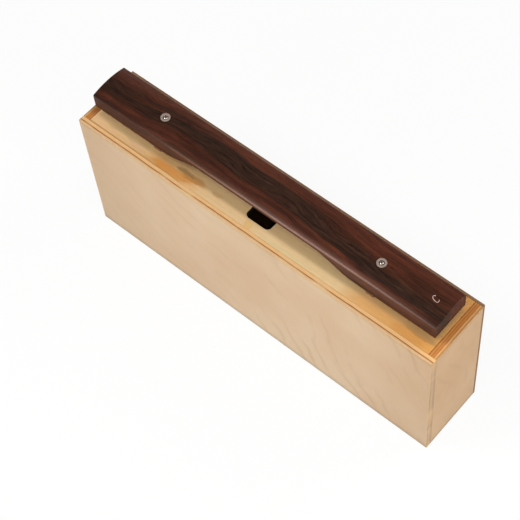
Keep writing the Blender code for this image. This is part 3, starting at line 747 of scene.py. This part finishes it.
def bar_shape():
    """The bar, lofted through its outlines from one eased end to the other."""
    stations = []
    for step in range(2 * ARRIS_STEPS, -1, -1):
        angle = math.radians(90 * step / (2 * ARRIS_STEPS))
        stations.append((bar_length / 2 - ARRIS * (1 - math.sin(angle)), ARRIS * (1 - math.cos(angle))))
    stations += [(node_right + NODE_MARGIN, 0.0), (node_right - NODE_MARGIN, 0.0)]
    for step in range(RAMP_STEPS + 1):
        stations.append((ARCH_FOOT + (ARCH_ROOF - ARCH_FOOT) * step / RAMP_STEPS, 0.0))
    stations += [(-x, inset) for x, inset in reversed(stations)]
    bm = bmesh.new()
    rings = []
    for x, inset in stations:
        rings.append([bm.verts.new((x, y, bar_low.z + z)) for y, z in bar_section(x, inset)])
    count = len(rings[0])
    for near, far in zip(rings, rings[1:]):
        for index in range(count):
            after = (index + 1) % count
            bm.faces.new((near[index], near[after], far[after], far[index]))
    bm.faces.new(rings[0])
    bm.faces.new(rings[-1])
    return bm


def oiled_rosewood(name, smooth, rough, gloss, front, back, tint):
    """Oiled rosewood gives the eye dark ribbons, fine open vessels and a low gloss where rubbed.

    Its lightness goes from front to back, which on the crown is painted shade at the front and painted light
    at the back; the tint tells end grain from long grain, and on the crown it also greys the wood a little
    as a painted sheen.
    """
    material, tree, shader, place = start_material(name)
    parts = add(tree, "SeparateXYZ", {0: place}).outputs
    line_stops = []
    for x, y in HEART_LINE:
        level = 0.5 + y / HEART_SPREAD
        line_stops.append(((x - bar_low.x) / bar_length, (level, level, level, 1)))
    share = add(tree, "MapRange", {0: parts["X"], 1: bar_low.x, 2: bar_high.x})
    line = add(tree, "ValToRGB", {0: share}, stops=line_stops)
    line.color_ramp.interpolation = 'CARDINAL'
    line_y = add(tree, "MapRange", {0: line, 3: -HEART_SPREAD / 2, 4: HEART_SPREAD / 2})

    warp = streaks(tree, place, LENGTHWISE, GRAIN_WARP_RUN_MM, GRAIN_WARP_RUN_MM / 4, 2.0)
    sway = add(tree, "MapRange", {0: warp, 1: WARP_LOW, 2: WARP_HIGH,
                                  3: -GRAIN_WARP_MM / 1000, 4: GRAIN_WARP_MM / 1000})
    off_line = add(tree, "Math", {0: parts["Y"], 1: line_y}, operation='SUBTRACT')
    swayed = add(tree, "Math", {0: off_line, 1: sway}, operation='ADD')
    on_grain = add(tree, "CombineXYZ", {0: parts["X"], 1: swayed, 2: parts["Z"]})
    bands = streaks(tree, on_grain, LENGTHWISE, BAND_RUN_MM, BAND_MM, 4.0)
    ribbons = streaks(tree, on_grain, LENGTHWISE, RIBBON_RUN_MM, RIBBON_MM, 4.0)
    vessels = streaks(tree, on_grain, LENGTHWISE, VESSEL_RUN_MM, VESSEL_MM, 2.0)

    distance = add(tree, "Math", {0: swayed}, operation='ABSOLUTE')
    raggedness = add(tree, "MapRange", {0: bands, 1: WARP_LOW, 2: WARP_HIGH,
                                        3: -HEART_RAGGED, 4: HEART_RAGGED})
    ragged = add(tree, "Math", {0: distance, 1: raggedness}, operation='ADD')
    in_heart = add(tree, "MapRange", {0: ragged, 1: HEART_EDGE, 2: HEART_CORE},
                   interpolation_type='SMOOTHSTEP')
    red = add(tree, "ValToRGB", {0: bands},
              stops=((0.32, paint(RED_DEEP)), (0.50, paint(RED_BROWN)), (0.72, paint(RED_LIGHT))))
    dark = add(tree, "ValToRGB", {0: ribbons},
               stops=((0.35, paint(HEART_BLACK)), (0.68, paint(HEART_BROWN))))
    wood = add(tree, "Mix", {0: in_heart, 6: red, 7: dark}, data_type='RGBA')
    open_vessel = add(tree, "MapRange", {0: vessels, 1: VESSEL_OPEN, 2: VESSEL_SHUT, 3: VESSEL_TONE, 4: 1.0})
    ribbon_tone = add(tree, "MapRange", {0: ribbons, 1: NOISE_LOW, 2: NOISE_HIGH,
                                         3: RIBBON_DARK, 4: RIBBON_LIGHT})
    end_tone = add(tree, "MapRange", {0: parts["X"], 1: bar_low.x, 2: 0.0, 3: LEFT_END_TONE, 4: 1.0})
    # Painted shade toward the front and painted light toward the back, where front and back differ
    painted_shade_and_light_across = add(tree, "MapRange", {0: parts["Y"], 1: bar_low.y, 2: bar_high.y, 3: front, 4: back})
    clouds = streaks(tree, on_grain, LENGTHWISE, CLOUD_RUN_MM, CLOUD_BREADTH_MM, 3.0)
    cloud_tone = add(tree, "MapRange", {0: clouds, 1: NOISE_LOW, 2: NOISE_HIGH,
                                        3: CLOUD_DARK, 4: CLOUD_LIGHT})
    tone = ribbon_tone
    for factor in (end_tone, cloud_tone, painted_shade_and_light_across, open_vessel):
        tone = add(tree, "Math", {0: tone, 1: factor}, operation='MULTIPLY')
    toned = add(tree, "VectorMath", {0: wood, "Scale": tone}, operation='SCALE')
    # On the crown, the tint also greys the wood a little as a painted sheen
    colour = add(tree, "VectorMath", {0: toned, 1: tint}, operation='MULTIPLY')
    bump = add(tree, "Bump", {"Height": open_vessel, "Strength": 0.22, "Distance": 0.00012})
    upward = add(tree, "SeparateXYZ", {0: add(tree, "TexCoord").outputs["Normal"]}).outputs["Z"]
    # The front arris's pale band, part rubbed wood and part painted highlight
    from_left = add(tree, "MapRange", {0: parts["X"], 1: RUB_AND_HIGHLIGHT_FROM, 2: RUB_AND_HIGHLIGHT_FROM + RUB_AND_HIGHLIGHT_FADE})
    to_right = add(tree, "MapRange", {0: parts["X"], 1: RUB_AND_HIGHLIGHT_TO, 2: RUB_AND_HIGHLIGHT_TO - RUB_AND_HIGHLIGHT_FADE})
    at_front = add(tree, "MapRange", {0: parts["Y"], 1: RUB_AND_HIGHLIGHT_REACH, 2: bar_low.y + RUB_AND_HIGHLIGHT_RIM},
                   interpolation_type='SMOOTHSTEP')
    on_top = add(tree, "MapRange", {0: upward, 1: NO_RUB_OR_HIGHLIGHT_BELOW, 2: RUB_AND_HIGHLIGHT_ABOVE, 3: 0.0, 4: RUB_AND_HIGHLIGHT})
    rounded = add(tree, "MapRange", {0: upward, 1: CROWN_SQUARE, 2: ARRIS_SQUARE, 3: CROWN_SHARE, 4: 1.0})
    rub_and_highlight = from_left
    for share in (to_right, at_front, on_top, rounded):
        rub_and_highlight = add(tree, "Math", {0: rub_and_highlight, 1: share}, operation='MULTIPLY')
    cooler = add(tree, "MapRange", {0: parts["X"], 1: WARM_UP_TO, 2: COOL_FROM})
    rub_and_highlight_colour = add(tree, "Mix", {0: cooler, 6: paint(RUB_AND_HIGHLIGHT_WARM), 7: paint(RUB_AND_HIGHLIGHT_PALE)}, data_type='RGBA')
    # The crown's colour, with the rubbed wood and the painted highlight laid over its front arris
    worn = add(tree, "Mix", {0: rub_and_highlight, 6: colour, 7: rub_and_highlight_colour}, data_type='RGBA')
    sheen = add(tree, "MapRange", {0: ribbons, 3: smooth, 4: rough})
    feed(shader, {"Base Color": worn, "Normal": bump, "Roughness": sheen, "IOR": 1.50,
                  "Specular IOR Level": gloss})
    return material


# The crown runs from painted shade at the front to painted light at the back
crown_finish = oiled_rosewood("oiled_rubbed_rosewood", smooth=0.25, rough=0.31, gloss=0.32,
                              front=0.81, back=1.20, tint=(1.05, 1.11, 1.13))
side_finish = oiled_rosewood("oiled_planed_rosewood", smooth=0.50, rough=0.60, gloss=0.12,
                             front=1.15, back=1.15, tint=(0.95, 1.12, 1.10))
end_finish = oiled_rosewood("oiled_sawn_rosewood_end", smooth=0.60, rough=0.70, gloss=0.12,
                            front=1.36, back=1.36, tint=(0.95, 0.97, 0.76))
bar = finish_piece("sound_bar_rosewood", bar_shape(), crown_finish)
node_holes = []
for _, node_x in NODE_SIDES:
    step_z = bar_high.z - HOLE_STEP_DEPTH
    node_holes.append(rod_shape(node_x, HOLE_WIDE / 2, step_z, bar_high.z + CUT_OVERRUN, 64))
    node_holes.append(rod_shape(node_x, HOLE_NARROW / 2, bar_low.z - CUT_OVERRUN, step_z + CUT_OVERRUN, 64))
pierce(bar, *node_holes)
bar.data.materials.append(side_finish)
bar.data.materials.append(end_finish)
for face in bar.data.polygons:
    if abs(face.normal.x) > END_TILT:
        face.material_index = 2
    elif face.normal.z < SIDE_TILT:
        face.material_index = 1
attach(bar, "bar")
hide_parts("sound_bar")

# Grommets
# Flanged bushes of grey-beige nylon, moulded, and pushed into the bar's node holes.
# The moulding leaves a soft even surface; the cup inside is rounded where it meets the flange.
FLANGE_THICKNESS, FLANGE_LIP = 0.0013, 0.00045
SLEEVE_DIAMETER = 0.0094
CUP_DIAMETER, CUP_DEPTH, BUSH_BORE = 0.0074, 0.0037, 0.0044
TURN_STEPS = 96
NYLON_BEIGE, NYLON_SHADE = "#9c897e", "#85746a"
MOULD_GRAIN_MM = 0.6


def turned_shape(profile, centre_x, closed=False, steps=TURN_STEPS, radius_at=None):
    """Turn a profile of (radius, height) about an upright axis; radius_at may change each radius."""
    bm = bmesh.new()
    rings = []
    for radius, height in profile:
        if radius == 0:
            rings.append([bm.verts.new((centre_x, 0, height))])
            continue
        ring = []
        for facet in range(steps):
            angle = 2 * math.pi * facet / steps
            reach = radius_at(radius, height, angle) if radius_at else radius
            ring.append(bm.verts.new((centre_x + reach * math.cos(angle), reach * math.sin(angle), height)))
        rings.append(ring)
    pairs = list(zip(rings, rings[1:]))
    if closed:
        pairs.append((rings[-1], rings[0]))
    for lower, upper in pairs:
        for facet in range(steps):
            after = (facet + 1) % steps
            if len(lower) == 1:
                bm.faces.new((lower[0], upper[facet], upper[after]))
            elif len(upper) == 1:
                bm.faces.new((lower[facet], lower[after], upper[0]))
            else:
                bm.faces.new((lower[facet], lower[after], upper[after], upper[facet]))
    return bm


nylon, tree, shader, place = start_material("moulded_nylon")
mottle = add(tree, "TexNoise", {"Vector": place, "Scale": 1000 / MOULD_GRAIN_MM, "Detail": 3.0})
colour = add(tree, "ValToRGB", {0: mottle}, stops=((0.35, paint(NYLON_SHADE)), (0.60, paint(NYLON_BEIGE))))
bump = add(tree, "Bump", {"Height": mottle, "Strength": 0.12, "Distance": 0.00006})
feed(shader, {"Base Color": colour, "Normal": bump, "Roughness": 0.46, "IOR": 1.53})

for side_name, node_x in NODE_SIDES:
    low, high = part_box("grommet_" + side_name)
    flange, top = (high.x - low.x) / 2, high.z
    rim, cup, lip = FLANGE_THICKNESS / 2, CUP_DIAMETER / 2, FLANGE_LIP
    foot = top - FLANGE_THICKNESS
    profile = [(BUSH_BORE / 2, low.z), (SLEEVE_DIAMETER / 2, low.z), (SLEEVE_DIAMETER / 2, foot)]
    profile += arc(flange - rim, top - rim, rim, -90, 90, 12)
    profile += arc(cup + lip, top - lip, lip, 90, 180, 8)
    profile += [(cup, top - CUP_DEPTH), (BUSH_BORE / 2, top - CUP_DEPTH)]
    grommet = finish_piece("grommet_bush_" + side_name, turned_shape(profile, node_x, closed=True), nylon)
    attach(grommet, "bar")
    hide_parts("grommet_" + side_name)

# Screws
# Slotted round-head wood screws, cold-headed, thread-rolled and bright zinc plated.
# The dome mirrors the soft boxes on both sides of its slot, and the thread bites the rail below.
HEAD_DIAMETER, HEAD_HEIGHT, HEAD_RIM = 0.0060, 0.0022, 0.0004
SHANK_DIAMETER, POINT_LENGTH = 0.0032, 0.0040
SLOT_WIDTH, SLOT_DEPTH, SLOT_ANGLE = 0.0010, 0.0011, 128
THREAD_PITCH, THREAD_DEPTH, THREAD_LENGTH = 0.0016, 0.00030, 0.030
THREAD_SHARPNESS, TIP_CORE = 0.6, 0.5
ROWS_PER_TURN = 8
SHANK_STEPS = 64
ZINC = "#d8cabc"
PLATING_GRAIN_MM = 0.12
PLATING_SMOOTH, PLATING_ROUGH = 0.18, 0.32

zinc, tree, shader, place = start_material("bright_zinc_plated_steel")
plating = add(tree, "TexNoise", {"Vector": place, "Scale": 1000 / PLATING_GRAIN_MM, "Detail": 2.0})
polish = add(tree, "MapRange", {0: plating, 3: PLATING_SMOOTH, 4: PLATING_ROUGH})
bump = add(tree, "Bump", {"Height": plating, "Strength": 0.08, "Distance": 0.00002})
feed(shader, {"Roughness": polish, "Normal": bump, "Base Color": paint(ZINC), "Metallic": 1.0})


def thread_radius(tip_z):
    """Radius of the shank once the thread has been cut into it, at a height and angle."""
    def radius_at(radius, height, angle):
        up = height - tip_z
        if radius > SHANK_DIAMETER / 2 or up > THREAD_LENGTH:
            return radius
        phase = (up / THREAD_PITCH - angle / (2 * math.pi)) % 1.0
        valley = THREAD_DEPTH * (1 - abs(2 * phase - 1)) ** THREAD_SHARPNESS
        fade = min(1.0, (THREAD_LENGTH - up) / THREAD_PITCH)
        return max(radius - valley * fade, radius * TIP_CORE)
    return radius_at


for side_name, node_x in NODE_SIDES:
    low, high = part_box("screw_" + side_name)
    head_seat = high.z - HEAD_HEIGHT
    shank = SHANK_DIAMETER / 2
    rows = round(THREAD_LENGTH / THREAD_PITCH * ROWS_PER_TURN)
    profile = [(0, low.z)]
    for row in range(1, rows + 1):
        up = THREAD_LENGTH * row / rows
        profile.append((shank * min(1.0, up / POINT_LENGTH), low.z + up))
    profile += [(shank, head_seat), (HEAD_DIAMETER / 2, head_seat)]
    profile.append((HEAD_DIAMETER / 2, head_seat + HEAD_RIM))
    for along, up in arc(0, 0, 1, 0, 90, 16)[1:-1]:
        profile.append((HEAD_DIAMETER / 2 * along, head_seat + HEAD_RIM + (HEAD_HEIGHT - HEAD_RIM) * up))
    profile.append((0, high.z))
    shape = turned_shape(profile, node_x, steps=SHANK_STEPS, radius_at=thread_radius(low.z))
    screw = finish_piece("screw_round_head_" + side_name, shape, zinc, 40)
    half_slot = Vector((HEAD_DIAMETER, SLOT_WIDTH / 2, SLOT_DEPTH))
    slot_shape = block_shape(-half_slot, half_slot)
    slot_turn = Matrix.Rotation(math.radians(SLOT_ANGLE), 3, 'Z')
    bmesh.ops.rotate(slot_shape, matrix=slot_turn, verts=slot_shape.verts)
    bmesh.ops.translate(slot_shape, vec=(node_x, 0, high.z), verts=slot_shape.verts)
    pierce(screw, slot_shape)
    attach(screw, "resonator")
    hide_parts("screw_" + side_name)

# Note letter
# The bar's note, a plain C, stamped in pale foil near its right-hand end.
# The stamp presses the foil flat into the crown, so it only shows as a thin dull-bright line.
LETTER_PATH = ((255.3, 4.0), (253.5, 3.1), (253.3, 0.9), (255.1, -0.9), (257.3, -1.6), (259.5, -2.3),
               (261.6, -2.2), (262.6, -0.8), (262.7, 0.8), (261.9, 2.4))
LETTER_STROKE, LETTER_START, LETTER_PROUD = 0.00075, 1.8, 0.00008
LETTER_START_SHARE, LETTER_TIP = 0.125, 0.35
LETTER_STEPS = 72
FOIL_PINK, FOIL_WORN = "#d8bcb1", "#a08078"
FOIL_WEAR_MM = 1.1

foil, tree, shader, place = start_material("stamped_foil")
worn = add(tree, "TexNoise", {"Vector": place, "Scale": 1000 / FOIL_WEAR_MM, "Detail": 3.0})
colour = add(tree, "ValToRGB", {0: worn}, stops=((0.36, paint(FOIL_WORN)), (0.52, paint(FOIL_PINK))))
feed(shader, {"Base Color": colour, "Roughness": 0.45})


def crown_height(y):
    """Height of the crown's skin at a distance y from the bar's middle line."""
    return bar_high.z - crown_radius + math.sqrt(crown_radius ** 2 - y ** 2)


def letter_point(share):
    """A point on the smooth line through the letter's path, in metres, and the line's direction."""
    last = len(LETTER_PATH) - 1
    first = min(int(share * last), last - 1)
    t = share * last - first
    corners = [Vector(LETTER_PATH[max(0, min(last, first + step))]) / 1000 for step in (-1, 0, 1, 2)]
    before, start, end, after = corners
    turn = before * 2 - start * 5 + end * 4 - after
    twist = (start - end) * 3 - before + after
    point = (start * 2 + (end - before) * t + turn * t ** 2 + twist * t ** 3) / 2
    return point, (end - before + turn * 2 * t + twist * 3 * t ** 2).normalized()


def letter_shape():
    """A letter C drawn as one stroke with round ends, bolder where it starts, on the bar's crown."""
    bm = bmesh.new()
    rows = []
    for step in range(LETTER_STEPS + 1):
        share = step / LETTER_STEPS
        point, direction = letter_point(share)
        bold = 1 + (LETTER_START - 1) * max(0.0, 1 - share / LETTER_START_SHARE)
        to_end = min(step, LETTER_STEPS - step, 2) / 2
        half = LETTER_STROKE / 2 * bold * (LETTER_TIP + (1 - LETTER_TIP) * math.sin(math.pi / 2 * to_end))
        across = Vector((-direction.y, direction.x)) * half
        row = []
        for edge in (point - across, point + across):
            for lift in (-LETTER_PROUD, LETTER_PROUD):
                row.append(bm.verts.new((edge.x, edge.y, crown_height(edge.y) + lift)))
        rows.append(row)
    for near, far in zip(rows, rows[1:]):
        for first, second in ((0, 1), (1, 3), (3, 2), (2, 0)):
            bm.faces.new((near[first], near[second], far[second], far[first]))
    for row in (rows[0], rows[-1]):
        bm.faces.new((row[0], row[1], row[3], row[2]))
    return bm


letter = finish_piece("note_letter", letter_shape(), foil)
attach(letter, "bar")
